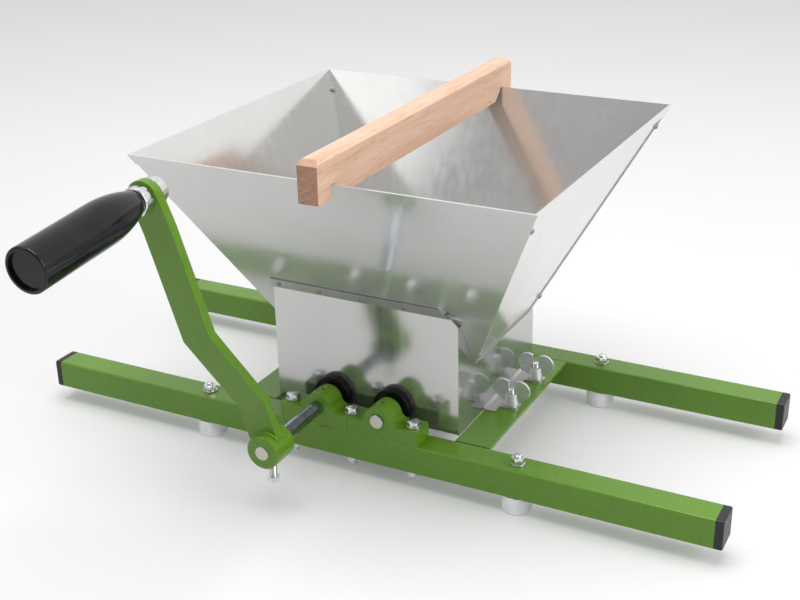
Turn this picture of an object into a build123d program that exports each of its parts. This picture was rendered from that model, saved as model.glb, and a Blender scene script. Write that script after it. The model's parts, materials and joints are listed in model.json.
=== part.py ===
"""Two-roller fruit and grape crusher with a hopper, a crank and a frame of two rails.

The origin is the middle of the frame on the surface that the feet stand on. X runs
along the rails, Y from the crank side to the gear side, and Z up. Sizes are in
millimetres.
"""
from build123d import *
from math import acos, cos, degrees, pi, radians, sin, sqrt, tan
import os

# ---------------------------------------------------------------- frame
FOOT_HEIGHT = 15.0
FOOT_RADIUS = 12.5
FOOT_X = 145.0
FOOT_POCKET = 7.0
FOOT_POCKET_RADIUS = 6.5
FOOT_ROUND = 1.5
TUBE = 25.0
TUBE_WALL = 2.0
TUBE_CORNER = 2.0
RAIL_LENGTH = 607.0
CAP_HEAD = 6.5
CAP_CHAMFER = 0.8
CAP_PLUG = 12.0
CAP_PLUG_WALL = 2.0
CAP_PLUG_GAP = 0.1
FRAME_DEPTH = 222.0
RAIL_Y = (FRAME_DEPTH - TUBE) / 2
RAIL_BASE = FOOT_HEIGHT
RAIL_TOP = RAIL_BASE + TUBE
CROSS_INNER = 85.5
CROSS_WIDTH = 30.0
CROSS_LEG = 20.0
CROSS_THICK = 3.0
CROSS_HALF_LENGTH = RAIL_Y - TUBE / 2

# ---------------------------------------------------------------- fasteners
M6 = 6.0
M6_HOLE = 6.4
M6_WASHER = 12.0
M6_WASHER_THICK = 1.4
M6_HEX = 10.0
M6_NUT_HEIGHT = 5.0
M6_HEAD_HEIGHT = 4.0
FOOT_BOLT_REACH = 2.0
BEARING_BOLT_REACH = 4.0
RIVET_RADIUS = 2.3
RIVET_HEIGHT = 1.1
RIVET_SHANK = 1.5
RIVET_HOLE = 1.55
RIVET_LENGTH = 4.0
RIVET_TAPER = 20
RIVET_DROP = 4.8
FIXED_FIT = 0.02

# ---------------------------------------------------------------- shafts and bearings
SHAFT = 12.0
SHAFT_CHAMFER = 0.4
RUNNING = 0.05
BEARING_X = -1.0
SHAFT_PITCH = 56.0
SHAFT_X = {"drive": BEARING_X - SHAFT_PITCH / 2, "driven": BEARING_X + SHAFT_PITCH / 2}
SHAFT_Z = RAIL_TOP + 15.5
BLOCK_WIDTH = 64.0
BLOCK_DEPTH = 21.0
BLOCK_HEIGHT = 13.0
BLOCK_SETBACK = 1.0
BLOCK_FRONT = FRAME_DEPTH / 2 - BLOCK_SETBACK
BLOCK_BACK = BLOCK_FRONT - BLOCK_DEPTH
BLOCK_SEAM = 0.15
BOSS_RADIUS = 12.0
BOSS_BLEND = 6.0
BLOCK_BOLT_SPACING = 56.5
BLOCK_BOLT_X = [BEARING_X + step * BLOCK_BOLT_SPACING for step in (-1, 0, 1)]
BLOCK_BOLT_Y = 101.0
OIL_HOLE = 2.4
SEAL_RADIUS = 16.5
SEAL_THICK = 6.5
SEAL_SPIGOT = 9.0
SEAL_GAP = 0.1

# ---------------------------------------------------------------- crushing box
BOX_HALF_X = 85.0
BOX_HALF_Y = 79.3
SHEET = 1.5
BOX_BOTTOM = RAIL_TOP + 1.2
FLANGE_TOPS = {"front": RAIL_BASE + 136.5, "rear": RAIL_BASE + 88.0}
FLANGE_CUT_X = 70.0
FLANGE_CUT_Z = RAIL_BASE + 121.0
RIVET_PITCH = 39.0
TAB_WIDTH = 11.0
TAB_REAR = 51.0
TAB_FRONT = -30.0
CLAMP_X = 103.3
CLAMP_Y = (42.7, -12.0)
LOBE_RADIUS = 8.0
CLAMP_FACE = RAIL_TOP + SHEET
TAB_BEND = 3.0
STUD_LENGTH = 19.0
STUD_CHAMFER = 0.6
WING_HUB = 6.5
WING_HUB_HEIGHT = 9.0
WING_HUB_TAPER = 9
WING_THICK = 2.2
WING_ROOT = 5.0
WING_ROOT_X = 3.5
WING_TIP = 8.8
WING_TIP_X = 7.6
WING_TIP_HEIGHT = 12.4
SEAT_GAP = 0.05

# ---------------------------------------------------------------- hopper
RIM_Z = RAIL_BASE + 253.3
RIM_LEFT = -162.6
RIM_RIGHT = 178.7
RIM_HALF_Y = 155.2
HEM = 1.2
HEM_HEIGHT = 9.0
HEM_BASE = RIM_Z - HEM_HEIGHT
FOLD_TOP = HEM_BASE - 0.5
HOPPER_REACH = 200.0
HOPPER_SHEET = 1.2
SLOPES = {"left": 0.405, "right": 0.527, "front": 0.606, "rear": 0.430}
THROAT_Z = RAIL_BASE + 75.6
SIDE_TOPS = {"left": RAIL_BASE + 61.7, "right": THROAT_Z}
SIDE_FRONT_TOPS = {"left": RAIL_BASE + 126.5, "right": FLANGE_CUT_Z}
CORNER_FOLD = 6.0
CORNER_SHEET = 1.0
CORNER_RIVET_LOW = THROAT_Z + 12.0

# ---------------------------------------------------------------- rollers and gears
ROLLER_HALF = 75.5
ROLLER_CORE = 23.5
RIB_COUNT = 8
RIB_RADIUS = 4.0
RIB_CENTRE = 26.3
PIN = 4.0
GEAR_TEETH = 16
GEAR_MODULE = SHAFT_PITCH / GEAR_TEETH
GEAR_FRONT = BLOCK_FRONT + 1.2
GEAR_WIDTH = 10.0
GEAR_HUB = 10.0
GEAR_HUB_LENGTH = 8.0
GEAR_BACKLASH = 0.35
PRESSURE_ANGLE = radians(20)
FLANK_STEPS = 4
PITCH_RADIUS = SHAFT_PITCH / 2
BASE_RADIUS = PITCH_RADIUS * cos(PRESSURE_ANGLE)
TIP_RADIUS = PITCH_RADIUS + GEAR_MODULE
ROOT_RADIUS = PITCH_RADIUS - 1.25 * GEAR_MODULE
SHAFT_REAR = GEAR_FRONT + GEAR_WIDTH + GEAR_HUB_LENGTH + 0.8
DRIVE_SHAFT_FRONT = -194.2
DRIVEN_SHAFT_FRONT = -111.8
ROLLER_PIN_Y = -60.0
GEAR_PIN_Y = GEAR_FRONT + GEAR_WIDTH + GEAR_HUB_LENGTH / 2

# ---------------------------------------------------------------- crank
CRANK_X = SHAFT_X["drive"]
LEAN = radians(18.3)
HUB_RADIUS = 14.0
HUB_CHAMFER = 1.0
HUB_FRONT = -193.4
HUB_REAR = -167.4
ARM_WIDTH = 26.0
ARM_THICK = 8.0
ARM_LOW_FACE = -186.0
ARM_TOP_FACE = -218.6
ARM_LOW_BEND = 38.0
ARM_TOP_BEND = 106.0
ARM_TIP_BEND = 192.0
CRANK_RADIUS = 218.0
TIP_TILT = radians(4.6)
SET_SCREW_Y = -179.5
SET_SCREW_HEAD = 24.8
NUT_HEX = 21.0
NUT_HEIGHT = 9.5
SPINDLE_THREAD = 14.0
SPINDLE = 10.0
GRIP_RADIUS = 17.0
GRIP_NECK = 9.6
GRIP_LENGTH = 116.0
GRIP_STRAIGHT = 74.0
GRIP_GAP = 0.6
GRIP_RUNNING = 0.08
GRIP_NECK_SLOPE = 0.35
GRIP_ROUND = 1.6
GRIP_DISH = 14.2
GRIP_DISH_DEPTH = 2.5
SPINDLE_REACH = 100.0
THREAD_STAND_OUT = 3.0

# ---------------------------------------------------------------- wooden bar
BAR_X = 12.3
BAR_THICK = 17.0
BAR_HALF = 174.0
BAR_BOTTOM = RAIL_BASE + 242.6
BAR_TOP = RAIL_BASE + 275.8
BAR_LEG_INNER = 156.2
BAR_SEAT_INNER = 151.0
BAR_NOTCH_END = 139.0
BAR_CHAMFER = 3.0
BAR_END_CHAMFER = 4.5

SIDES = {"left": -1, "right": 1}
ENDS = {"front": -1, "rear": 1}
CORNERS = {f"{end}_{side}": (SIDES[side], ENDS[end]) for end in ENDS for side in SIDES}


def save(builder, name):
    """Label a finished piece and write its STEP file."""
    builder.part.label = name
    export_step(builder.part, f"parts/{name}.step")


def across_y(x, y, z):
    """Plane square to Y at a point: local x is X, local y is Z, and it faces the crank side."""
    return Plane(origin=(x, y, z), x_dir=(1, 0, 0), z_dir=(0, -1, 0))


def wall_x(side, z):
    """X of the outer face of the hopper's left or right panel at a height."""
    rim = RIM_LEFT + HEM if side == "left" else RIM_RIGHT - HEM
    return rim - SIDES[side] * SLOPES[side] * (RIM_Z - z)


def wall_y(end, z):
    """Y of the outer face of the hopper's front or rear panel at a height."""
    return ENDS[end] * (RIM_HALF_Y - HEM - SLOPES[end] * (RIM_Z - z))


def height_where(end, distance):
    """Height at which the front or rear panel's outer face is a distance from the middle."""
    return RIM_Z - (RIM_HALF_Y - HEM - distance) / SLOPES[end]


# ================================================================ frame
def make_rail(end):
    """One square tube, drilled for the feet and for the bearing bolts."""
    y = ENDS[end] * RAIL_Y
    with BuildPart() as rail:
        with BuildSketch(Plane.YZ.offset(-RAIL_LENGTH / 2)):
            with Locations((y, RAIL_BASE + TUBE / 2)):
                RectangleRounded(TUBE, TUBE, TUBE_CORNER)
                Rectangle(TUBE - 2 * TUBE_WALL, TUBE - 2 * TUBE_WALL, mode=Mode.SUBTRACT)
        extrude(amount=RAIL_LENGTH)
        with BuildSketch(Plane.XY.offset(RAIL_BASE)):
            with Locations((-FOOT_X, y), (FOOT_X, y)):
                Circle(M6_HOLE / 2)
            with Locations(*[(x, ENDS[end] * BLOCK_BOLT_Y) for x in BLOCK_BOLT_X]):
                Circle(M6_HOLE / 2)
        extrude(amount=TUBE, mode=Mode.SUBTRACT)
    save(rail, f"{end}_rail")


def make_cap(corner):
    """Plastic plug that closes one tube end."""
    side, end = CORNERS[corner]
    start = side * RAIL_LENGTH / 2
    outward = Plane(origin=(start, end * RAIL_Y, RAIL_BASE + TUBE / 2), x_dir=(0, 1, 0), z_dir=(side, 0, 0))
    inside = TUBE - 2 * TUBE_WALL - 2 * CAP_PLUG_GAP
    hollow = inside - 2 * CAP_PLUG_WALL
    with BuildPart() as cap:
        with BuildSketch(outward):
            RectangleRounded(TUBE, TUBE, TUBE_CORNER)
        extrude(amount=CAP_HEAD)
        chamfer(cap.faces().sort_by(Axis.X)[-1 if side > 0 else 0].edges(), length=CAP_CHAMFER)
        with BuildSketch(outward):
            Rectangle(inside, inside)
            Rectangle(hollow, hollow, mode=Mode.SUBTRACT)
        extrude(amount=-CAP_PLUG)
    save(cap, f"{corner}_cap")


def make_cross_member(side):
    """Angle bar between the rails, flush with their tops, with holes for the clamp studs."""
    sign = SIDES[side]
    inner = sign * CROSS_INNER
    with BuildPart() as member:
        with BuildSketch(across_y(inner, CROSS_HALF_LENGTH, RAIL_TOP)):
            with BuildLine():
                Polyline(
                    (0, 0),
                    (sign * CROSS_WIDTH, 0),
                    (sign * CROSS_WIDTH, -CROSS_THICK),
                    (sign * CROSS_THICK, -CROSS_THICK),
                    (sign * CROSS_THICK, -CROSS_LEG),
                    (0, -CROSS_LEG),
                    close=True,
                )
            make_face()
        extrude(amount=2 * CROSS_HALF_LENGTH)
        with BuildSketch(Plane.XY.offset(RAIL_TOP - CROSS_THICK)):
            with Locations(*[(sign * CLAMP_X, y) for y in CLAMP_Y]):
                Circle(M6 / 2)
        extrude(amount=CROSS_THICK, mode=Mode.SUBTRACT)
    save(member, f"{side}_cross_member")


def make_foot(corner):
    """Round foot with a pocket for the bolt head."""
    side, end = CORNERS[corner]
    with BuildPart() as foot:
        with BuildSketch(Plane.XY):
            with Locations((side * FOOT_X, end * RAIL_Y)):
                Circle(FOOT_RADIUS)
        extrude(amount=FOOT_HEIGHT)
        fillet(foot.faces().sort_by(Axis.Z)[0].edges(), radius=FOOT_ROUND)
        with BuildSketch(Plane.XY):
            with Locations((side * FOOT_X, end * RAIL_Y)):
                Circle(FOOT_POCKET_RADIUS)
        extrude(amount=FOOT_POCKET, mode=Mode.SUBTRACT)
        with BuildSketch(Plane.XY):
            with Locations((side * FOOT_X, end * RAIL_Y)):
                Circle(M6_HOLE / 2)
        extrude(amount=FOOT_HEIGHT, mode=Mode.SUBTRACT)
    save(foot, f"{corner}_foot")


def hexagon(across_flats):
    """Hexagon sketch by its size across flats."""
    return RegularPolygon(radius=across_flats / 2, side_count=6, major_radius=False, rotation=30)


def make_bolts(name, places, head_z, head_height, tip_z, upwards):
    """Group of M6 bolts: a hexagon head with its shank towards the tip."""
    grow = 1 if upwards else -1
    with BuildPart() as bolts:
        with BuildSketch(Plane.XY.offset(head_z)):
            with Locations(*places):
                hexagon(M6_HEX)
        extrude(amount=-grow * head_height)
        with BuildSketch(Plane.XY.offset(head_z)):
            with Locations(*places):
                Circle(M6 / 2)
        extrude(amount=tip_z - head_z)
    save(bolts, name)


def make_washers(name, places, base_heights):
    """Group of flat washers at one or more heights."""
    with BuildPart() as washers:
        for base in base_heights:
            with BuildSketch(Plane.XY.offset(base)):
                with Locations(*places):
                    Circle(M6_WASHER / 2)
                    Circle(M6_HOLE / 2, mode=Mode.SUBTRACT)
            extrude(amount=M6_WASHER_THICK)
    save(washers, name)


def make_nuts(name, places, base_z):
    """Group of M6 nuts, screwed on with no gap to the thread."""
    with BuildPart() as nuts:
        with BuildSketch(Plane.XY.offset(base_z)):
            with Locations(*places):
                hexagon(M6_HEX)
                Circle(M6 / 2, mode=Mode.SUBTRACT)
        extrude(amount=M6_NUT_HEIGHT)
    save(nuts, name)


# ================================================================ bearings
def make_block(corner):
    """Cast bearing block: a base bolted to the rail, and a boss round the shaft."""
    side, end = CORNERS[corner]
    shaft_x = BEARING_X + side * SHAFT_PITCH / 2
    rise = SHAFT_Z - RAIL_TOP
    start = -BLOCK_FRONT if end < 0 else BLOCK_BACK
    plane = across_y(0, start, RAIL_TOP)
    with BuildPart() as block:
        with BuildSketch(plane):
            with Locations((BEARING_X + side * (BLOCK_WIDTH + BLOCK_SEAM) / 2, BLOCK_HEIGHT / 2)):
                Rectangle(BLOCK_WIDTH - BLOCK_SEAM, BLOCK_HEIGHT)
            with Locations((shaft_x, rise / 2)):
                Rectangle(2 * BOSS_RADIUS, rise)
            with Locations((shaft_x, rise)):
                Circle(BOSS_RADIUS)
        extrude(amount=-BLOCK_DEPTH)
        at_shoulder = block.edges().filter_by(Axis.Y).group_by(Axis.Z)[1]
        fillet(at_shoulder.sort_by(lambda edge: abs(edge.center().X - shaft_x))[:2], radius=BOSS_BLEND)
        with BuildSketch(plane):
            with Locations((shaft_x, rise)):
                Circle(SHAFT / 2 + RUNNING)
        extrude(amount=-BLOCK_DEPTH, mode=Mode.SUBTRACT)
        with BuildSketch(Plane.XY.offset(RAIL_TOP)):
            with Locations(*[(x, end * BLOCK_BOLT_Y) for x in BLOCK_BOLT_X]):
                Circle(M6_HOLE / 2)
        extrude(amount=BLOCK_HEIGHT, mode=Mode.SUBTRACT)
        with BuildSketch(Plane.XY.offset(SHAFT_Z)):
            with Locations((shaft_x, start + BLOCK_DEPTH / 2)):
                Circle(OIL_HOLE / 2)
        extrude(amount=BOSS_RADIUS + 1, mode=Mode.SUBTRACT)
    save(block, f"{corner}_bearing_block")


def make_seals():
    """Black rings that close the shaft holes of the box, one solid at each hole."""
    with BuildPart() as seals:
        for end in ENDS.values():
            outer = end * (BOX_HALF_Y + SEAL_GAP)
            inner = end * (BOX_HALF_Y - SHEET)
            places = [(x, 0) for x in SHAFT_X.values()]
            with BuildSketch(across_y(0, outer, SHAFT_Z)):
                with Locations(*places):
                    Circle(SEAL_RADIUS)
            extrude(amount=-end * SEAL_THICK)
            with BuildSketch(across_y(0, inner, SHAFT_Z)):
                with Locations(*places):
                    Circle(SEAL_SPIGOT)
            extrude(amount=-end * (SHEET + SEAL_GAP))
            with BuildSketch(across_y(0, inner, SHAFT_Z)):
                with Locations(*places):
                    Circle(SHAFT / 2 + RUNNING)
            extrude(amount=-end * (SHEET + SEAL_GAP + SEAL_THICK), mode=Mode.SUBTRACT)
    save(seals, "shaft_seals")


# ================================================================ crushing box
def flange_spots(end):
    """Planes of the flange rivets: on the outer face of the flange, facing out."""
    sign = ENDS[end]
    tilt = sqrt(1 + SLOPES[end] ** 2)
    z = FLANGE_TOPS[end] - RIVET_DROP
    y = wall_y(end, z) + sign * SHEET * tilt
    across = [step * RIVET_PITCH for step in (-2, -1, 0, 1, 2)]
    return [Plane(origin=(x, y, z), x_dir=(1, 0, 0), z_dir=(0, sign, -SLOPES[end])) for x in across]


def make_end_plate(end):
    """Front or rear plate: upright below, its top flange lying on the hopper's sloping panel."""
    sign = ENDS[end]
    outer = sign * BOX_HALF_Y
    inner = sign * (BOX_HALF_Y - SHEET)
    lean = SHEET * sqrt(1 + SLOPES[end] ** 2)
    top = FLANGE_TOPS[end]
    with BuildPart() as plate:
        with BuildSketch(Plane.YZ.offset(-BOX_HALF_X)):
            with BuildLine():
                Polyline(
                    (outer, BOX_BOTTOM),
                    (inner, BOX_BOTTOM),
                    (inner, height_where(end, abs(inner))),
                    (wall_y(end, top), top),
                    (wall_y(end, top) + sign * lean, top),
                    (outer, height_where(end, abs(outer) - lean)),
                    close=True,
                )
            make_face()
        extrude(amount=2 * BOX_HALF_X)
        with BuildSketch(across_y(0, outer, SHAFT_Z)):
            with Locations(*[(x, 0) for x in SHAFT_X.values()]):
                Circle(SEAL_SPIGOT + RUNNING)
        extrude(amount=sign * SHEET, mode=Mode.SUBTRACT)
        for spot in flange_spots(end):
            with BuildSketch(spot):
                Circle(RIVET_HOLE)
            extrude(amount=-2 * SHEET, mode=Mode.SUBTRACT)
        if end == "front":
            with BuildSketch(across_y(0, -RIM_HALF_Y, 0)):
                with BuildLine():
                    Polyline(
                        (FLANGE_CUT_X, top),
                        (BOX_HALF_X, FLANGE_CUT_Z),
                        (BOX_HALF_X, top),
                        close=True,
                    )
                make_face()
            extrude(amount=-RIM_HALF_Y, mode=Mode.SUBTRACT)
    save(plate, f"box_{end}_plate")


def make_side_wall(side):
    """Left or right wall of the box, cut to the hopper above it, with a clamp flange at its foot."""
    sign = SIDES[side]
    half = BOX_HALF_Y - SHEET
    top = SIDE_TOPS[side]
    front_top = SIDE_FRONT_TOPS[side]
    studs = [(sign * CLAMP_X, y) for y in CLAMP_Y]
    necks = [(sign * (BOX_HALF_X + CLAMP_X) / 2, y) for y in CLAMP_Y]
    with BuildPart() as wall:
        with BuildSketch(Plane.YZ.offset(sign * BOX_HALF_X)):
            with BuildLine():
                Polyline(
                    (-half, RAIL_TOP),
                    (half, RAIL_TOP),
                    (half, top),
                    (wall_y("front", top), top),
                    (wall_y("front", front_top), front_top),
                    (-half, front_top),
                    close=True,
                )
            make_face()
        extrude(amount=-sign * SHEET)
        with BuildSketch(Plane.XY.offset(RAIL_TOP)):
            with Locations((sign * (BOX_HALF_X + TAB_WIDTH / 2), (TAB_REAR + TAB_FRONT) / 2)):
                Rectangle(TAB_WIDTH, TAB_REAR - TAB_FRONT)
            with Locations(*studs):
                Circle(LOBE_RADIUS)
            with Locations(*necks):
                Rectangle(CLAMP_X - BOX_HALF_X, 2 * LOBE_RADIUS)
            with Locations(*studs):
                Circle(M6_HOLE / 2, mode=Mode.SUBTRACT)
        extrude(amount=SHEET)
        lengthwise = wall.edges().filter_by(Axis.Y)
        on_tab = lengthwise.filter_by_position(Axis.Z, RAIL_TOP + SHEET / 2, CLAMP_FACE + SHEET)
        fillet(on_tab.sort_by(lambda edge: abs(edge.center().X))[0], radius=TAB_BEND)
    save(wall, f"box_{side}_wall")


def make_rivets(name, spots, grip_length):
    """Group of blind rivets: a low domed head on each spot and a shank through the sheets."""
    with BuildPart() as rivets:
        for spot in spots:
            with BuildSketch(spot):
                Circle(RIVET_RADIUS)
            extrude(amount=RIVET_HEIGHT, taper=RIVET_TAPER)
            with BuildSketch(spot):
                Circle(RIVET_SHANK)
            extrude(amount=-grip_length)
    save(rivets, name)


# ================================================================ hopper
def x_face(side, outward=0):
    """Line of a side panel's outer face seen along Y, as X by height, moved outward."""
    return lambda z: wall_x(side, z) + SIDES[side] * outward


def y_face(end, outward=0):
    """Line of an end panel's outer face seen along X, as Y by height, moved outward."""
    return lambda z: wall_y(end, z) + ENDS[end] * outward


def outline(low, high, first, second):
    """Four corners between two such lines and two heights."""
    return [(first(low), low), (second(low), low), (second(high), high), (first(high), high)]


def wedge(side_view, front_view):
    """Solid with one outline seen along X and the other seen along Y."""
    with BuildPart() as solid:
        with BuildSketch(Plane.YZ.offset(-HOPPER_REACH)):
            with BuildLine():
                Polyline(*side_view, close=True)
            make_face()
        extrude(amount=2 * HOPPER_REACH)
        with BuildSketch(across_y(0, HOPPER_REACH, 0)):
            with BuildLine():
                Polyline(*front_view, close=True)
            make_face()
        extrude(amount=2 * HOPPER_REACH, mode=Mode.INTERSECT)
    return solid.part


def corner_spots(side):
    """Planes of the corner rivets on one side, on the outer face of the folds."""
    sign = SIDES[side]
    spots = []
    for z in (RIM_Z - 2 * HEM_HEIGHT, CORNER_RIVET_LOW):
        x = wall_x(side, z) + sign * CORNER_SHEET
        for end in ENDS:
            y = wall_y(end, z) - ENDS[end] * CORNER_FOLD / 2
            spots.append(Plane(origin=(x, y, z), x_dir=(0, 1, 0), z_dir=(sign, 0, -SLOPES[side])))
    return spots


def make_end_panel(end):
    """Front or rear hopper panel, its edges folded round the corners onto the side panels."""
    width = outline(THROAT_Z, RIM_Z, x_face("left"), x_face("right"))
    sheet = wedge(outline(THROAT_Z, RIM_Z, y_face(end), y_face(end, -HOPPER_SHEET)), width)
    hem_width = outline(HEM_BASE, RIM_Z, x_face("left", HEM), x_face("right", HEM))
    hem = wedge(outline(HEM_BASE, RIM_Z, y_face(end), y_face(end, HEM)), hem_width)
    fold_depth = outline(THROAT_Z, FOLD_TOP, y_face(end), y_face(end, -CORNER_FOLD))
    folds = [
        wedge(fold_depth, outline(THROAT_Z, FOLD_TOP, x_face(side), x_face(side, CORNER_SHEET)))
        for side in SIDES
    ]
    with BuildPart() as panel:
        add([sheet, hem, *folds])
        for spot in flange_spots(end) + corner_spots("left") + corner_spots("right"):
            with BuildSketch(spot):
                Circle(RIVET_HOLE)
            extrude(amount=-RIVET_LENGTH, mode=Mode.SUBTRACT)
    save(panel, f"hopper_{end}_panel")


def make_side_panel(side):
    """Left or right hopper panel between the end panels, with its own hem at the rim."""
    front = y_face("front", -HOPPER_SHEET)
    rear = y_face("rear", -HOPPER_SHEET)
    thickness = (x_face(side), x_face(side, -HOPPER_SHEET))
    sheet = wedge(outline(THROAT_Z, RIM_Z, front, rear), outline(THROAT_Z, RIM_Z, *thickness))
    hem = wedge(
        outline(HEM_BASE, RIM_Z, y_face("front"), y_face("rear")),
        outline(HEM_BASE, RIM_Z, x_face(side), x_face(side, HEM)),
    )
    pieces = [sheet, hem]
    bottom = SIDE_TOPS[side]
    if bottom < THROAT_Z:
        depth = outline(bottom, THROAT_Z, front, lambda z: rear(THROAT_Z))
        pieces.append(wedge(depth, outline(bottom, THROAT_Z, *thickness)))
    with BuildPart() as panel:
        add(pieces)
        for spot in corner_spots(side):
            with BuildSketch(spot):
                Circle(RIVET_HOLE)
            extrude(amount=-RIVET_LENGTH, mode=Mode.SUBTRACT)
    save(panel, f"hopper_{side}_panel")


# ================================================================ clamps
def make_clamp_studs():
    """Studs fixed in the cross members, two on each side of the box."""
    places = [(sign * CLAMP_X, y) for sign in (-1, 1) for y in CLAMP_Y]
    with BuildPart() as studs:
        with BuildSketch(Plane.XY.offset(RAIL_TOP - CROSS_THICK)):
            with Locations(*places):
                Circle(M6 / 2)
        extrude(amount=STUD_LENGTH)
        chamfer(studs.faces().filter_by(Axis.Z).group_by(Axis.Z)[-1].edges(), length=STUD_CHAMFER)
    save(studs, "clamp_studs")


def make_wing_nut(name, x, y):
    """Wing nut: a tapered hub and two upright wings, free to turn on its stud."""
    base = CLAMP_FACE + M6_WASHER_THICK + SEAT_GAP
    with BuildPart() as nut:
        with BuildSketch(Plane.XY.offset(base)):
            with Locations((x, y)):
                Circle(WING_HUB)
        extrude(amount=WING_HUB_HEIGHT, taper=WING_HUB_TAPER)
        for sign in (-1, 1):
            with BuildSketch(across_y(x, y, base)):
                with Locations((sign * WING_ROOT_X, WING_ROOT)):
                    Circle(WING_ROOT)
                with Locations((sign * WING_TIP_X, WING_TIP_HEIGHT)):
                    Circle(WING_TIP)
                make_hull()
            extrude(amount=WING_THICK / 2, both=True)
        with BuildSketch(Plane.XY.offset(base)):
            with Locations((x, y)):
                Circle(M6 / 2 + RUNNING)
        extrude(amount=WING_TIP_HEIGHT + WING_TIP, mode=Mode.SUBTRACT)
    save(nut, name)


# ================================================================ rollers, gears and shafts
def cross_plane(x, y, angle):
    """Plane through a shaft's axis, its normal across the shaft at an angle above X."""
    return Plane(origin=(x, y, SHAFT_Z), x_dir=(0, 1, 0), z_dir=(cos(angle), 0, sin(angle)))


def make_shaft(name, x, front, pin_angle):
    """Round shaft with cross holes for the roller pin and the gear pin."""
    with BuildPart() as shaft:
        with BuildSketch(across_y(x, front, SHAFT_Z)):
            Circle(SHAFT / 2)
        extrude(amount=front - SHAFT_REAR)
        chamfer(shaft.faces().filter_by(Axis.Y).edges(), length=SHAFT_CHAMFER)
        for y, angle in ((ROLLER_PIN_Y, pin_angle), (GEAR_PIN_Y, pi / 2)):
            with BuildSketch(cross_plane(x, y, angle)):
                Circle(PIN / 2 + FIXED_FIT)
            extrude(amount=SHAFT, both=True, mode=Mode.SUBTRACT)
    save(shaft, name)


def make_roller(name, x, phase, pin_angle):
    """Ribbed crushing roller, pinned to its shaft."""
    with BuildPart() as roller:
        with BuildSketch(across_y(x, -ROLLER_HALF, SHAFT_Z)):
            Circle(ROLLER_CORE)
            with PolarLocations(RIB_CENTRE, RIB_COUNT, start_angle=degrees(phase)):
                Circle(RIB_RADIUS)
            Circle(SHAFT / 2 + FIXED_FIT, mode=Mode.SUBTRACT)
        extrude(amount=-2 * ROLLER_HALF)
        with BuildSketch(cross_plane(x, ROLLER_PIN_Y, pin_angle)):
            Circle(PIN / 2 + FIXED_FIT)
        extrude(amount=ROLLER_CORE + RIB_RADIUS, both=True, mode=Mode.SUBTRACT)
    save(roller, name)


def make_pins(name, x, pin_angle):
    """Group of two pins: one holds the roller and one holds the gear."""
    with BuildPart() as pins:
        for y, angle, half in ((ROLLER_PIN_Y, pin_angle, ROLLER_CORE), (GEAR_PIN_Y, pi / 2, GEAR_HUB)):
            with BuildSketch(cross_plane(x, y, angle)):
                Circle(PIN / 2)
            extrude(amount=half, both=True)
    save(pins, name)


def half_tooth(radius):
    """Half of the angle that a gear tooth spans at a radius."""
    at_pitch = (pi * GEAR_MODULE / 2 - GEAR_BACKLASH) / (2 * PITCH_RADIUS)
    at_radius = acos(BASE_RADIUS / radius)
    return at_pitch + tan(PRESSURE_ANGLE) - PRESSURE_ANGLE - tan(at_radius) + at_radius


def polar(radius, angle):
    """Point by radius and angle."""
    return (radius * cos(angle), radius * sin(angle))


def make_gear(name, x, phase):
    """Spur gear with a hub, pinned to its shaft."""
    tooth_height = TIP_RADIUS - BASE_RADIUS
    radii = [BASE_RADIUS + tooth_height * step / FLANK_STEPS for step in range(FLANK_STEPS + 1)]
    pitch_angle = 2 * pi / GEAR_TEETH
    root_half = half_tooth(BASE_RADIUS)
    with BuildPart() as gear:
        with BuildSketch(across_y(x, GEAR_FRONT, SHAFT_Z)):
            with BuildLine():
                for tooth in range(GEAR_TEETH):
                    middle = phase + tooth * pitch_angle
                    rising = [polar(radius, middle - half_tooth(radius)) for radius in radii]
                    falling = [polar(radius, middle + half_tooth(radius)) for radius in reversed(radii)]
                    Line(polar(ROOT_RADIUS, middle - root_half), rising[0])
                    Spline(*rising)
                    Line(rising[-1], falling[0])
                    Spline(*falling)
                    Line(falling[-1], polar(ROOT_RADIUS, middle + root_half))
                    Line(
                        polar(ROOT_RADIUS, middle + root_half),
                        polar(ROOT_RADIUS, middle + pitch_angle - root_half),
                    )
            make_face()
        extrude(amount=-GEAR_WIDTH)
        with BuildSketch(across_y(x, GEAR_FRONT + GEAR_WIDTH, SHAFT_Z)):
            Circle(GEAR_HUB)
        extrude(amount=-GEAR_HUB_LENGTH)
        with BuildSketch(across_y(x, GEAR_FRONT, SHAFT_Z)):
            Circle(SHAFT / 2 + FIXED_FIT)
        extrude(amount=-GEAR_WIDTH - GEAR_HUB_LENGTH, mode=Mode.SUBTRACT)
        with BuildSketch(cross_plane(x, GEAR_PIN_Y, pi / 2)):
            Circle(PIN / 2 + FIXED_FIT)
        extrude(amount=GEAR_HUB, both=True, mode=Mode.SUBTRACT)
    save(gear, name)


# ================================================================ crank
def crank_point(radius, y):
    """Point on the crank's middle plane, by distance from the shaft's axis."""
    return Vector(CRANK_X - radius * sin(LEAN), y, SHAFT_Z + radius * cos(LEAN))


def spindle_plane(distance):
    """Plane square to the grip's axis, at a distance in front of the arm's front face."""
    toward_hub = Vector(sin(LEAN), 0, -cos(LEAN))
    axis = Vector(0, -cos(TIP_TILT), 0) + toward_hub * sin(TIP_TILT)
    face_y = ARM_TOP_FACE - (CRANK_RADIUS - ARM_TIP_BEND) * tan(TIP_TILT)
    origin = crank_point(CRANK_RADIUS, face_y) + axis * distance
    return Plane(origin=origin, x_dir=(cos(LEAN), 0, sin(LEAN)), z_dir=axis)


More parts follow.
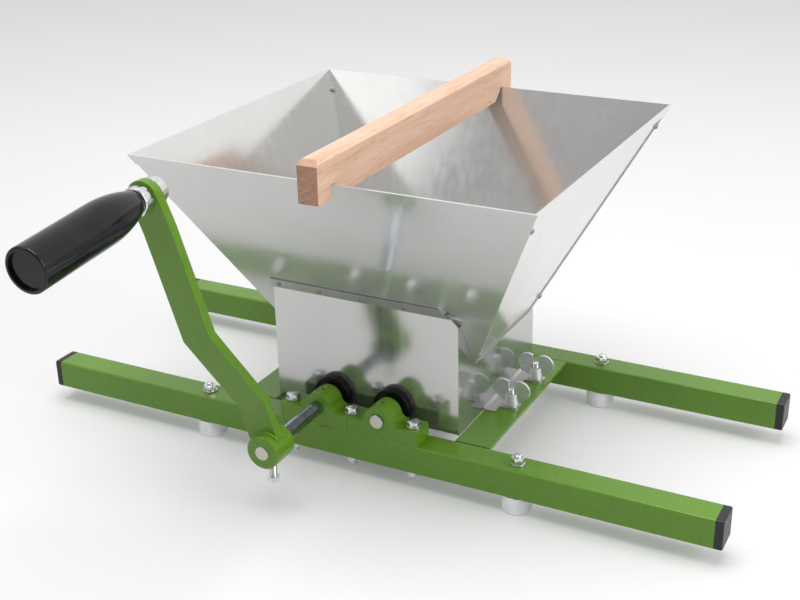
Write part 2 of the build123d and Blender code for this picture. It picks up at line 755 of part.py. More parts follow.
def make_crank_hub():
    """Steel bush that the arm is welded to, held on the shaft by a set screw."""
    with BuildPart() as hub:
        with BuildSketch(across_y(CRANK_X, HUB_REAR, SHAFT_Z)):
            Circle(HUB_RADIUS)
        extrude(amount=HUB_REAR - HUB_FRONT)
        chamfer(hub.faces().filter_by(Axis.Y).edges(), length=HUB_CHAMFER)
        with BuildSketch(across_y(CRANK_X, HUB_REAR, SHAFT_Z)):
            Circle(SHAFT / 2 + FIXED_FIT)
        extrude(amount=HUB_REAR - HUB_FRONT, mode=Mode.SUBTRACT)
        with BuildSketch(Plane.XY.offset(SHAFT_Z)):
            with Locations((CRANK_X, SET_SCREW_Y)):
                Circle(M6 / 2 + FIXED_FIT)
        extrude(amount=-HUB_RADIUS, mode=Mode.SUBTRACT)
    save(hub, "crank_hub")


def make_crank_arm():
    """Flat bar with two bends, its top end rounded and tilted for the grip."""
    length = CRANK_RADIUS + ARM_WIDTH / 2
    tip_face = ARM_TOP_FACE - (length - ARM_TIP_BEND) * tan(TIP_TILT)
    along = Plane(
        origin=(CRANK_X, 0, SHAFT_Z),
        x_dir=(-sin(LEAN), 0, cos(LEAN)),
        z_dir=(-cos(LEAN), 0, -sin(LEAN)),
    )
    facing = Plane(origin=(CRANK_X, HUB_REAR, SHAFT_Z), x_dir=along.x_dir, z_dir=(0, -1, 0))
    with BuildPart() as arm:
        with BuildSketch(along):
            with BuildLine():
                Polyline(
                    (0, ARM_LOW_FACE),
                    (ARM_LOW_BEND, ARM_LOW_FACE),
                    (ARM_TOP_BEND, ARM_TOP_FACE),
                    (ARM_TIP_BEND, ARM_TOP_FACE),
                    (length, tip_face),
                )
                offset(amount=ARM_THICK, side=Side.LEFT)
            make_face()
        extrude(amount=ARM_WIDTH / 2, both=True)
        with BuildSketch(facing):
            with Locations((CRANK_RADIUS / 2, 0)):
                SlotCenterToCenter(CRANK_RADIUS, ARM_WIDTH)
        extrude(amount=HUB_REAR - ARM_TOP_FACE + ARM_WIDTH, mode=Mode.INTERSECT)
        with BuildSketch(across_y(CRANK_X, HUB_REAR, SHAFT_Z)):
            Circle(HUB_RADIUS)
        extrude(amount=HUB_REAR - HUB_FRONT, mode=Mode.SUBTRACT)
        with BuildSketch(spindle_plane(ARM_THICK)):
            Circle(SPINDLE_THREAD / 2 + FIXED_FIT)
        extrude(amount=-3 * ARM_THICK, mode=Mode.SUBTRACT)
    save(arm, "crank_arm")


def make_set_screw():
    """Hexagon set screw pointing up into the crank hub, its end on the shaft."""
    tip_z = SHAFT_Z - SHAFT / 2
    with BuildPart() as screw:
        with BuildSketch(Plane.XY.offset(SET_SCREW_HEAD)):
            with Locations((CRANK_X, SET_SCREW_Y)):
                hexagon(M6_HEX)
        extrude(amount=M6_HEAD_HEIGHT)
        with BuildSketch(Plane.XY.offset(SET_SCREW_HEAD)):
            with Locations((CRANK_X, SET_SCREW_Y)):
                Circle(M6 / 2)
        extrude(amount=tip_z - SET_SCREW_HEAD)
    save(screw, "crank_set_screw")


def make_grip_spindle():
    """Threaded stud through the arm that thins to the spindle inside the grip."""
    with BuildPart() as spindle:
        with BuildSketch(spindle_plane(NUT_HEIGHT)):
            Circle(SPINDLE_THREAD / 2)
        extrude(amount=-2 * NUT_HEIGHT - ARM_THICK - THREAD_STAND_OUT)
        with BuildSketch(spindle_plane(NUT_HEIGHT)):
            Circle(SPINDLE / 2)
        extrude(amount=SPINDLE_REACH)
    save(spindle, "grip_spindle")


def make_grip_nuts():
    """Group of two nuts that hold the spindle to the arm, one on each face."""
    with BuildPart() as nuts:
        for distance in (0, -ARM_THICK - NUT_HEIGHT):
            with BuildSketch(spindle_plane(distance)):
                RegularPolygon(radius=NUT_HEX / 2, side_count=6, major_radius=False)
                Circle(SPINDLE_THREAD / 2 + FIXED_FIT, mode=Mode.SUBTRACT)
            extrude(amount=NUT_HEIGHT)
    save(nuts, "grip_nuts")


def make_grip():
    """Turned grip: dished far end, straight body and a taper down to the neck."""
    seat = spindle_plane(NUT_HEIGHT + GRIP_GAP)
    lengthwise = Plane(origin=seat.origin, x_dir=seat.x_dir, z_dir=seat.x_dir.cross(seat.z_dir))
    bore = SPINDLE / 2 + GRIP_RUNNING
    bore_end = SPINDLE_REACH + GRIP_GAP
    dish_floor = GRIP_LENGTH - GRIP_DISH_DEPTH
    with BuildPart() as grip:
        with BuildSketch(lengthwise):
            with BuildLine():
                Polyline(
                    (GRIP_RADIUS, GRIP_LENGTH - GRIP_STRAIGHT),
                    (GRIP_RADIUS, GRIP_LENGTH),
                    (GRIP_DISH, GRIP_LENGTH),
                    (GRIP_DISH, dish_floor),
                    (0, dish_floor),
                    (0, bore_end),
                    (bore, bore_end),
                    (bore, 0),
                    (GRIP_NECK, 0),
                )
                Spline(
                    (GRIP_NECK, 0),
                    (GRIP_RADIUS, GRIP_LENGTH - GRIP_STRAIGHT),
                    tangents=[(GRIP_NECK_SLOPE, 1), (0, 1)],
                )
            make_face()
        revolve(axis=Axis(seat.origin, seat.z_dir))
        end_rims = grip.edges().filter_by(GeomType.CIRCLE).group_by(Axis.Y)[0]
        fillet(end_rims.sort_by(SortBy.RADIUS)[-1], radius=GRIP_ROUND)
    save(grip, "grip")


# ================================================================ wooden bar
def make_wooden_bar():
    """Bar across the hopper, notched over the front and rear rims."""
    seat = RIM_Z + SEAT_GAP
    half_outline = [
        (BAR_NOTCH_END, BAR_BOTTOM),
        (BAR_SEAT_INNER, seat),
        (BAR_LEG_INNER, seat),
        (BAR_LEG_INNER, BAR_BOTTOM),
        (BAR_HALF, BAR_BOTTOM),
        (BAR_HALF, BAR_TOP),
    ]
    mirrored = [(-y, z) for y, z in reversed(half_outline)]
    with BuildPart() as bar:
        with BuildSketch(Plane.YZ.offset(BAR_X)):
            with BuildLine():
                Polyline(*half_outline, *mirrored, close=True)
            make_face()
        extrude(amount=BAR_THICK / 2, both=True)
        top_edges = bar.faces().sort_by(Axis.Z)[-1].edges()
        chamfer(top_edges.filter_by(Axis.Y), length=BAR_CHAMFER)
        end_edges = bar.faces().sort_by(Axis.Z)[-1].edges().filter_by(Axis.X)
        chamfer(end_edges, length=BAR_END_CHAMFER)
    save(bar, "wooden_bar")


# ================================================================ every piece
def make_frame():
    """Rails, caps, cross members and feet."""
    feet = [(side * FOOT_X, end * RAIL_Y) for side, end in CORNERS.values()]
    washer_top = RAIL_TOP + M6_WASHER_THICK
    for end in ENDS:
        make_rail(end)
    for side in SIDES:
        make_cross_member(side)
    for corner in CORNERS:
        make_cap(corner)
        make_foot(corner)
    foot_bolt_tip = washer_top + M6_NUT_HEIGHT + FOOT_BOLT_REACH
    make_bolts("foot_bolts", feet, FOOT_POCKET, M6_HEAD_HEIGHT, foot_bolt_tip, True)
    make_washers("foot_washers", feet, (RAIL_TOP,))
    make_nuts("foot_nuts", feet, washer_top)


def make_bearings():
    """Bearing blocks with their bolts, and the rings between them and the box."""
    spots = [(x, end * BLOCK_BOLT_Y) for x in BLOCK_BOLT_X for end in ENDS.values()]
    base_top = RAIL_TOP + BLOCK_HEIGHT
    below = RAIL_BASE - M6_WASHER_THICK
    nut_base = below - M6_NUT_HEIGHT
    for corner in CORNERS:
        make_block(corner)
    head_base = base_top + M6_WASHER_THICK
    make_bolts("bearing_bolts", spots, head_base, M6_HEAD_HEIGHT, nut_base - BEARING_BOLT_REACH, False)
    make_washers("bearing_washers", spots, (base_top, below))
    make_nuts("bearing_nuts", spots, nut_base)
    make_seals()


def make_box_and_hopper():
    """Crushing box, hopper, their rivets and the clamps that hold the box down."""
    for end in ENDS:
        make_end_plate(end)
        make_end_panel(end)
    for side in SIDES:
        make_side_wall(side)
        make_side_panel(side)
    make_rivets("box_rivets", flange_spots("front") + flange_spots("rear"), RIVET_LENGTH)
    make_rivets("hopper_rivets", corner_spots("left") + corner_spots("right"), RIVET_LENGTH)
    make_clamp_studs()
    make_washers("clamp_washers", [(sign * CLAMP_X, y) for sign in (-1, 1) for y in CLAMP_Y], (CLAMP_FACE,))
    for side in SIDES:
        for place, y in zip(("rear", "front"), CLAMP_Y):
            make_wing_nut(f"{place}_{side}_wing_nut", SIDES[side] * CLAMP_X, y)


def make_drive():
    """Both shafts with their rollers, gears and pins."""
    half_rib = pi / RIB_COUNT
    half_pitch = pi / GEAR_TEETH
    fronts = {"drive": DRIVE_SHAFT_FRONT, "driven": DRIVEN_SHAFT_FRONT}
    rib_phases = {"drive": 0, "driven": half_rib}
    pin_angles = {"drive": half_rib, "driven": 0}
    gear_phases = {"drive": 0, "driven": half_pitch}
    for shaft, x in SHAFT_X.items():
        make_shaft(f"{shaft}_shaft", x, fronts[shaft], pin_angles[shaft])
        make_roller(f"{shaft}_roller", x, rib_phases[shaft], pin_angles[shaft])
        make_pins(f"{shaft}_pins", x, pin_angles[shaft])
        make_gear(f"{shaft}_gear", x, gear_phases[shaft])


def make_crank():
    """Crank with its free-turning grip."""
    make_crank_hub()
    make_crank_arm()
    make_set_screw()
    make_grip_spindle()
    make_grip_nuts()
    make_grip()


os.makedirs("parts", exist_ok=True)
make_frame()
make_bearings()
make_box_and_hopper()
make_drive()
make_crank()
make_wooden_bar()
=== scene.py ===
"""Look of the two-roller fruit crusher: materials, fine pieces, light and camera.

Places and sizes are in metres in the row frame, but fasteners, weld beads and edge roundings are in
millimetres.
"""
import json
from math import asin, atan2, cos, pi, radians, sin

import bpy
import numpy
from mathutils import Matrix, Vector


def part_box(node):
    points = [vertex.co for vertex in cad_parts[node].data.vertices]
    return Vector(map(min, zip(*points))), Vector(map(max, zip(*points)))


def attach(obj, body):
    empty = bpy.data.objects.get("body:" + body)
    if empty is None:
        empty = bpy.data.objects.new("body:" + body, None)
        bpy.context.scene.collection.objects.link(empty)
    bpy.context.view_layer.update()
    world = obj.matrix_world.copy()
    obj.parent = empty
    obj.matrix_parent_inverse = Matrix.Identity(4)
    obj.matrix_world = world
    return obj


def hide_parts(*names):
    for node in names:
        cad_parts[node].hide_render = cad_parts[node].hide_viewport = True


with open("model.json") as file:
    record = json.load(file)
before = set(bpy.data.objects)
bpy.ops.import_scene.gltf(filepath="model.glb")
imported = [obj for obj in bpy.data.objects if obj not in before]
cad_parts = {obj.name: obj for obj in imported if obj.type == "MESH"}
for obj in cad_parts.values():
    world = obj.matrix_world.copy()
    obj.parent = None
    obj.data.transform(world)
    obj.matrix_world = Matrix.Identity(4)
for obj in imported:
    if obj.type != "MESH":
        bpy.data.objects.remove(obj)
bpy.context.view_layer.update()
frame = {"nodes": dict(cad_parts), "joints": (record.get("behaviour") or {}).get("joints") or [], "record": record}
nodes = frame["nodes"]
record = frame["record"]
MM = 0.001
CORNERS = ("front_left", "front_right", "rear_left", "rear_right")

# ---------------------------------------------------------------- camera, in metres, degrees and lens mm
CAMERA_PLACE = (0.4734, -0.9106, 0.5582)
CAMERA_AZIMUTH = 27.85
CAMERA_ELEVATION = 23.40
CAMERA_ROLL = -1.21
CAMERA_LENS = 58.1
CAMERA_SENSOR = 36.0

# ---------------------------------------------------------------- floor and light
FLOOR_REACH = 14.0
FLOOR_GLOW = 0.18
# The sky's strength is its level plus the slope along each direction, so it is brightest behind.
SKY_LEVEL = 0.65
SKY_SLOPE = (0.06, 0.37, 0.10)
# Name, place, the point it is aimed at, size in metres and power in watts.
LAMPS = (
    ("overhead", (0.0, -0.1, 2.2), (0, 0, 0.1), 1.5, 35),
    ("right_side", (2.0, -0.1, 1.1), (0, 0, 0.15), 1.2, 20),
    ("front_left", (-1.85, -2.2, 1.60), (0, 0.1, 0.2), 1.0, 3.2),
    ("edge_glint", (-1.15, -1.0, 2.1), (0, 0, 0.1), 0.6, 6),
)

# ---------------------------------------------------------------- edges, with roundings in millimetres
EDGE_ANGLE = radians(32)
FLAT_ANGLE = radians(0.5)
PIECE_EDGE_ANGLE = radians(36)
WELD_DISTANCE = 1e-6
RAIL_ROUNDING = 0.5
CRANK_ARM_ROUNDING = 0.9
SHAFT_ROUNDING = 0.9
SEAL_ROUNDING = 0.6
BAR_ROUNDING = 0.4
CAP_ROUNDING = 0.5
FOOT_ROUNDING = 0.4
BLOCK_ROUNDING = 0.6
WING_NUT_ROUNDING = 0.8

# ---------------------------------------------------------------- fasteners and weld, in millimetres
M6 = 6.0
M6_PITCH = 1.0
M6_HEX = 10.0
M6_HEAD = 4.0
M6_WASHER_OUTER = 12.0
M6_WASHER_INNER = 6.4
M14 = 14.0
M14_PITCH = 2.0
M14_HEX = 21.0
SPINDLE = 10.0
SPINDLE_THREAD_LENGTH = 30.0
THREAD_DEPTH_SHARE = 0.3
STEPS_PER_PITCH = 8
CHAMFER_CONE_SHARE = 0.475
CHAMFER_SLOPE = 1.73
CHAMFER_STEPS = (0.0, 0.15, 0.3, 0.45, 0.62)
RIVET_HEAD = 2.3
RIVET_HEAD_HEIGHT = 1.1
RIVET_SHANK = 1.5
RIVET_STUB = 0.75
ARM_THICK = 8.0
ARM_WIDTH = 26.0
BEAD_RADIUS = 1.7
BEAD_STEP = 2.6
BEAD_SECTIONS = 90
BEAD_AROUND = 12
AROUND = 48


# ================================================================ node helpers
class Look:
    """A material with a Principled shader and short calls to add nodes to it."""

    def __init__(self, name, color, metallic=0.0, roughness=0.5, **sockets):
        self.material = bpy.data.materials.new(name)
        self.material.use_nodes = True
        self.tree = self.material.node_tree
        self.shader = self.tree.nodes["Principled BSDF"]
        self.shader.inputs["Base Color"].default_value = (*color, 1)
        self.shader.inputs["Metallic"].default_value = metallic
        self.shader.inputs["Roughness"].default_value = roughness
        for socket, value in sockets.items():
            self.shader.inputs[socket.replace("_", " ")].default_value = value
        self.place = self.tree.nodes.new("ShaderNodeTexCoord").outputs["Object"]

    def link(self, output, target):
        """Joins an output to an input socket."""
        self.tree.links.new(output, target)

    def stretched(self, scale):
        """Object coordinates times a scale for each axis."""
        mapping = self.tree.nodes.new("ShaderNodeMapping")
        mapping.inputs["Scale"].default_value = scale
        self.link(self.place, mapping.inputs["Vector"])
        return mapping.outputs["Vector"]

    def noise(self, scale, detail=3.0, roughness=0.55, distortion=0.0, stretch=(1, 1, 1)):
        """Noise with a scale per metre, stretched along the axes."""
        noise = self.tree.nodes.new("ShaderNodeTexNoise")
        noise.inputs["Scale"].default_value = scale
        noise.inputs["Detail"].default_value = detail
        noise.inputs["Roughness"].default_value = roughness
        noise.inputs["Distortion"].default_value = distortion
        self.link(self.stretched(stretch), noise.inputs["Vector"])
        return noise.outputs["Fac"]

    def cells(self, scale, stretch=(1, 1, 1)):
        """Distance to the nearest of scattered points."""
        cells = self.tree.nodes.new("ShaderNodeTexVoronoi")
        cells.inputs["Scale"].default_value = scale
        self.link(self.stretched(stretch), cells.inputs["Vector"])
        return cells.outputs["Distance"]

    def facing(self, axis):
        """How squarely the surface faces along one axis of the object, from 0 to 1."""
        geometry = self.tree.nodes.new("ShaderNodeTexCoord").outputs["Normal"]
        split = self.tree.nodes.new("ShaderNodeSeparateXYZ")
        self.link(geometry, split.inputs[0])
        return self.math("ABSOLUTE", split.outputs[axis], 0)

    def ramp(self, value, *stops):
        """Colour ramp through (position, colour) stops."""
        ramp = self.tree.nodes.new("ShaderNodeValToRGB")
        points = ramp.color_ramp.elements
        while len(points) < len(stops):
            points.new(0.5)
        for point, (position, color) in zip(points, stops):
            point.position = position
            point.color = (*color, 1)
        self.link(value, ramp.inputs["Fac"])
        return ramp.outputs["Color"]

    def remap(self, value, low, high, new_low, new_high):
        """Value moved from one range to another and held inside it."""
        remap = self.tree.nodes.new("ShaderNodeMapRange")
        limits = {"From Min": low, "From Max": high, "To Min": new_low, "To Max": new_high}
        for name, number in limits.items():
            remap.inputs[name].default_value = number
        self.link(value, remap.inputs["Value"])
        return remap.outputs["Result"]

    def math(self, operation, first, second):
        """Sum, product and the like of two values, either of them a number."""
        step = self.tree.nodes.new("ShaderNodeMath")
        step.operation = operation
        for socket, value in zip(step.inputs, (first, second)):
            if isinstance(value, (int, float)):
                socket.default_value = value
            else:
                self.link(value, socket)
        return step.outputs["Value"]

    def mix(self, factor, first, second, blend="MIX"):
        """Mix of two colours, either of them a plain colour."""
        mix = self.tree.nodes.new("ShaderNodeMix")
        mix.data_type = "RGBA"
        mix.blend_type = blend
        if isinstance(factor, (int, float)):
            mix.inputs["Factor"].default_value = factor
        else:
            self.link(factor, mix.inputs["Factor"])
        for name, value in (("A", first), ("B", second)):
            socket = [s for s in mix.inputs if s.name == name and s.type == "RGBA"][0]
            if isinstance(value, tuple):
                socket.default_value = (*value, 1)
            else:
                self.link(value, socket)
        return [s for s in mix.outputs if s.type == "RGBA"][0]

    def color(self, output):
        """Drives the base colour."""
        self.link(output, self.shader.inputs["Base Color"])

    def rough(self, output):
        """Drives the roughness."""
        self.link(output, self.shader.inputs["Roughness"])

    def bump(self, height, strength, distance):
        """Bumps the surface, on top of any bump made before."""
        bump = self.tree.nodes.new("ShaderNodeBump")
        bump.inputs["Strength"].default_value = strength
        bump.inputs["Distance"].default_value = distance
        normal = self.shader.inputs["Normal"]
        if normal.is_linked:
            self.link(normal.links[0].from_socket, bump.inputs["Normal"])
        self.link(height, bump.inputs["Height"])
        self.link(bump.outputs["Normal"], normal)


# ================================================================ materials
def green_powder_coat():
    """Semi-gloss green powder coat with a soft orange-peel surface."""
    look = Look("green_powder_coat", (0.090, 0.21, 0.006), roughness=0.24, Specular_IOR_Level=0.5)
    patches = look.noise(14, 3)
    look.color(look.ramp(patches, (0.3, (0.084, 0.200, 0.005)), (0.7, (0.096, 0.221, 0.006))))
    look.rough(look.remap(look.noise(60, 3), 0.3, 0.7, 0.22, 0.34))
    look.bump(look.noise(330, 1), 0.05, 0.0004)
    return look.material


def sheet_steel(name, shade, metallic, smooth, dull, fold_dulling):
    """Bright sheet steel: fine upright rolling lines, cloudy patches, faint smears and duller folds."""
    look = Look(name, (shade, shade, shade), metallic=metallic, roughness=smooth)
    clouds = look.noise(9, 4, 0.6)
    lines = look.noise(170, 2, 0.6, 0.0, (1.0, 1.0, 0.05))
    low = 0.965 * shade
    high = 1.03 * shade
    tint = look.ramp(clouds, (0.3, (low, low, 0.98 * low)), (0.7, (high, high, 0.985 * high)))
    fine = look.ramp(lines, (0.25, (0.965, 0.965, 0.965)), (0.75, (1.0, 1.0, 1.0)))
    look.color(look.mix(1.0, tint, fine, "MULTIPLY"))
    smears = look.remap(look.noise(26, 3, 0.6, 0.4), 0.45, 0.75, 0.0, 0.05)
    on_fold = look.remap(look.facing("Z"), 0.20, 0.35, 0.0, fold_dulling)
    along_lines = look.remap(lines, 0.3, 0.7, smooth, dull)
    look.rough(look.math("ADD", look.math("ADD", along_lines, smears), on_fold))
    return look.material


def rivet_steel():
    """Dull grey steel of the blind rivets, its tone varying in clouds."""
    look = Look("rivet_steel", (0.30, 0.30, 0.30), metallic=1.0, roughness=0.40)
    cloud = look.noise(500, 3)
    look.color(look.ramp(cloud, (0.3, (0.22, 0.22, 0.22)), (0.7, (0.36, 0.36, 0.35))))
    look.rough(look.remap(cloud, 0.3, 0.7, 0.33, 0.46))
    return look.material


def zinc_plate():
    """Bright zinc plating with a faint cloudy bloom."""
    look = Look("zinc_plate", (0.70, 0.71, 0.72), metallic=1.0, roughness=0.22)
    bloom = look.noise(320, 4)
    tint = look.ramp(
        bloom,
        (0.3, (0.62, 0.63, 0.63)),
        (0.6, (0.74, 0.75, 0.76)),
        (0.8, (0.76, 0.74, 0.68)),
    )
    look.color(tint)
    look.rough(look.remap(bloom, 0.3, 0.7, 0.15, 0.28))
    return look.material


def cast_zinc():
    """Pale die-cast wing nuts with a soft grain."""
    look = Look("cast_zinc", (0.74, 0.76, 0.78), metallic=0.75, roughness=0.34)
    grain = look.noise(420, 3)
    look.color(look.ramp(grain, (0.3, (0.68, 0.70, 0.73)), (0.7, (0.80, 0.82, 0.84))))
    look.rough(look.remap(grain, 0.3, 0.7, 0.28, 0.40))
    return look.material


def turned_steel():
    """Machined gear and pin steel with faint cutter marks."""
    look = Look("turned_steel", (0.46, 0.47, 0.48), metallic=1.0, roughness=0.28)
    marks = look.noise(220, 3)
    look.color(look.ramp(marks, (0.3, (0.40, 0.41, 0.42)), (0.7, (0.50, 0.51, 0.52))))
    look.rough(look.remap(marks, 0.3, 0.7, 0.22, 0.36))
    return look.material


def shaft_steel():
    """Bare shaft steel: blue-grey on the turned side, cream where the end was cut."""
    look = Look("shaft_steel", (0.34, 0.38, 0.42), metallic=1.0, roughness=0.22)
    rings = look.noise(30, 2, 0.5, 0.0, (0.2, 12, 0.2))
    side = look.ramp(rings, (0.3, (0.28, 0.32, 0.36)), (0.7, (0.40, 0.44, 0.48)))
    on_end = look.remap(look.facing("Y"), 0.80, 0.92, 0.0, 1.0)
    look.color(look.mix(on_end, side, (0.56, 0.53, 0.47)))
    dulling = look.math("MULTIPLY", on_end, 0.25)
    look.rough(look.math("ADD", look.remap(rings, 0.3, 0.7, 0.14, 0.22), dulling))
    return look.material


def cast_aluminium():
    """Sandy cast aluminium for the rollers."""
    look = Look("cast_aluminium", (0.52, 0.52, 0.51), metallic=1.0, roughness=0.42)
    sand = look.noise(700, 4)
    look.color(look.ramp(look.noise(40, 4), (0.3, (0.44, 0.44, 0.43)), (0.7, (0.57, 0.57, 0.56))))
    look.rough(look.remap(sand, 0.3, 0.7, 0.34, 0.55))
    look.bump(sand, 0.35, 0.0004)
    return look.material


def moulded_plastic(name, color, roughness, grain, specular=0.5):
    """Moulded plastic with a fine spark-eroded grain."""
    look = Look(name, color, roughness=roughness, Specular_IOR_Level=specular)
    darker = tuple(0.82 * part for part in color)
    look.color(look.ramp(look.noise(90, 4), (0.3, darker), (0.7, color)))
    look.rough(look.remap(look.noise(300, 3), 0.3, 0.7, roughness - 0.06, roughness + 0.08))
    look.bump(look.noise(600, 2), grain, 0.0003)
    return look.material


def polished_black():
    """Polished black grip with hair scratches along it."""
    look = Look("polished_black", (0.004, 0.004, 0.006), roughness=0.12, Specular_IOR_Level=0.34)
    look.color(look.ramp(look.noise(60, 3), (0.3, (0.003, 0.003, 0.005)), (0.7, (0.008, 0.008, 0.011))))
    hairs = look.noise(160, 3, 0.6, 0.4, (3, 0.4, 3))
    look.rough(look.remap(hairs, 0.4, 0.7, 0.10, 0.18))
    return look.material


def beech():
    """Planed beech: soft bands along the bar, many short dark flecks and darker end grain."""
    look = Look("beech", (0.80, 0.55, 0.41), roughness=0.55, Specular_IOR_Level=0.3)
    bands = look.noise(26, 3, 0.55, 0.8, (3.0, 0.16, 3.0))
    tint = look.ramp(
        bands,
        (0.28, (0.54, 0.33, 0.225)),
        (0.48, (0.63, 0.415, 0.30)),
        (0.72, (0.69, 0.48, 0.365)),
    )
    flecks = look.cells(330, (1.0, 0.12, 1.0))
    fleck_mask = look.remap(flecks, 0.10, 0.28, 1.0, 0.0)
    tint = look.mix(look.math("MULTIPLY", fleck_mask, 0.5), tint, (0.46, 0.22, 0.12))
    pores = look.noise(500, 2, 0.6, 0.0, (1.0, 0.06, 1.0))
    tint = look.mix(look.remap(pores, 0.48, 0.72, 0.0, 0.40), tint, (0.52, 0.28, 0.18))
    end_grain = look.remap(look.facing("Y"), 0.55, 0.97, 0.0, 0.82)
    rings = look.noise(300, 3, 0.6, 1.0, (0.5, 1.0, 2.0))
    end_tint = look.ramp(rings, (0.3, (0.24, 0.12, 0.075)), (0.7, (0.46, 0.25, 0.17)))
    look.color(look.mix(end_grain, tint, end_tint))
    look.rough(look.remap(pores, 0.3, 0.7, 0.48, 0.64))
    look.bump(pores, 0.10, 0.0002)
    return look.material


def make_looks():
    """Every material by the record's slot name, and those of pieces that look unlike their slot; the outer look is
    a darker copy of the hopper steel that paints shade on the hopper's front and right panels.
    """
    return {
        "green_paint": green_powder_coat(),
        "stainless_sheet": sheet_steel("satin_hopper_steel", 0.72, 0.80, 0.10, 0.15, 0.0),
        # outer: the same hopper steel with a lower shade and less metal, painted shade for the hopper's front and
        # right panels.
        "outer": sheet_steel("satin_hopper_steel_painted_shade", 0.64, 0.64, 0.10, 0.15, 0.0),
        "shaft": shaft_steel(),
        "wing": cast_zinc(),
        "box": sheet_steel("bright_box_steel", 0.55, 0.88, 0.12, 0.17, 0.25),
        "rivet": rivet_steel(),
        "zinc_plate": zinc_plate(),
        "machined_steel": turned_steel(),
        "cast_aluminium": cast_aluminium(),
        "black_plastic": moulded_plastic("black_cap_plastic", (0.010, 0.011, 0.014), 0.42, 0.08, 0.42),
        "black_nylon": moulded_plastic("black_nylon", (0.003, 0.003, 0.004), 0.40, 0.04, 0.25),
        "black_gloss": polished_black(),
        "white_plastic": moulded_plastic("white_foot_plastic", (0.86, 0.87, 0.89), 0.42, 0.05),
        "beech": beech(),
    }


def dress_nodes():
    """Gives every CAD node the material of what it is made of; the hopper's front and right panels get a darker
    copy of their steel, which is painted shade.
    """
    for subpart in record["subparts"]:
        node = subpart["node"]
        materials = nodes[node].data.materials
        materials.clear()
        look = subpart["material_slot"]
        if node.startswith("box_"):
            look = "box"
        # Painted shade: the hopper's front and right panels take the darker copy of the hopper steel.
        if node in ("hopper_front_panel", "hopper_right_panel"):
            look = "outer"
        if node.endswith("wing_nut"):
            look = "wing"
        if node.endswith("_shaft"):
            look = "shaft"
        materials.append(looks[look])


# ================================================================ edges of the CAD nodes
def soften(name, width):
    """Rounds the sharp edges of a CAD node for the light to catch; its own mesh is unchanged."""
    node = nodes[name]
    weld = node.modifiers.new("weld", "WELD")
    weld.merge_threshold = WELD_DISTANCE
    flats = node.modifiers.new("flats", "DECIMATE")
    flats.decimate_type = "DISSOLVE"
    flats.angle_limit = FLAT_ANGLE
    bevel = node.modifiers.new("bevel", "BEVEL")
    bevel.width = width * MM
    bevel.segments = 2
    bevel.limit_method = "ANGLE"
    bevel.angle_limit = EDGE_ANGLE
    normals = node.modifiers.new("normals", "WEIGHTED_NORMAL")
    normals.keep_sharp = True


def soften_edges():
    """Smooth shading on every node, and roundings on those whose edges show."""
    widths = {
        "front_rail": RAIL_ROUNDING,
        "rear_rail": RAIL_ROUNDING,
        "left_cross_member": RAIL_ROUNDING,
        "right_cross_member": RAIL_ROUNDING,
        "crank_hub": RAIL_ROUNDING,
        "crank_arm": CRANK_ARM_ROUNDING,
        "wooden_bar": BAR_ROUNDING,
        "shaft_seals": SEAL_ROUNDING,
        "drive_shaft": SHAFT_ROUNDING,
        "driven_shaft": SHAFT_ROUNDING,
    }
    for corner in CORNERS:
        widths[f"{corner}_cap"] = CAP_ROUNDING
        widths[f"{corner}_foot"] = FOOT_ROUNDING
        widths[f"{corner}_bearing_block"] = BLOCK_ROUNDING
        widths[f"{corner}_wing_nut"] = WING_NUT_ROUNDING
    for node in nodes.values():
        node.data.shade_smooth()
        node.data.set_sharp_from_angle(angle=EDGE_ANGLE)
    for name, width in widths.items():
        soften(name, width)


# ================================================================ turned and threaded pieces
def solids(name):
    """Vertices of each separate solid in a CAD node."""
    mesh = nodes[name].data
    joined = {}

    def leader(key):
        while joined[key] != key:
            key = joined[key]
        return key

    keys = [tuple(round(part, 6) for part in vertex.co) for vertex in mesh.vertices]
    for key in keys:
        joined[key] = key
    for polygon in mesh.polygons:
        first = leader(keys[polygon.vertices[0]])
        for index in polygon.vertices[1:]:
            joined[leader(keys[index])] = first
    groups = {}
    for key in joined:
        groups.setdefault(leader(key), []).append(key)
    return [numpy.array(group) for group in groups.values()]


def shaft_line(points):
    """Start, direction and length of a turned solid, the start being at its wider end.

    The line runs through the middle of the solid's box. For a tilted solid with one wide end that is off
    its true axis: 1.4 mm for the grip's spindle and a fraction of that for the rivets.
    """
    middle = (points.min(0) + points.max(0)) / 2
    spread, directions = numpy.linalg.eigh(numpy.cov((points - middle).T))
    odd_one = 0 if spread[1] - spread[0] > spread[2] - spread[1] else 2
    axis = directions[:, odd_one]
    along = (points - middle) @ axis
    away = numpy.linalg.norm((points - middle) - numpy.outer(along, axis), axis=1)
    low, high = along.min(), along.max()
    centre = (low + high) / 2
    if away[along > centre].max() > away[along < centre].max():
        axis, low, high = -axis, -high, -low
    return Vector(middle + axis * low), Vector(axis), high - low


def standing_at(start, axis):
    """Matrix that puts a piece made along +Z, in millimetres, on a line."""
    turn = Vector((0, 0, 1)).rotation_difference(axis).to_matrix().to_4x4()
    return Matrix.Translation(start) @ turn @ Matrix.Scale(MM, 4)


def round_ring(height, radius):
    """Ring of points on a circle."""
    turns = [2 * pi * i / AROUND for i in range(AROUND)]
    return [(radius * cos(turn), radius * sin(turn), height) for turn in turns]


def hexagon_ring(height, across, cone_radius):
    """Ring of points on a hexagon, held inside a circle where the chamfer cuts its corners."""
    ring = []
    for i in range(AROUND):
        angle = 2 * pi * i / AROUND
        flat = across / 2 / cos((angle % (pi / 3)) - pi / 6)
        radius = min(flat, cone_radius)
        ring.append((radius * cos(angle), radius * sin(angle), height))
    return ring


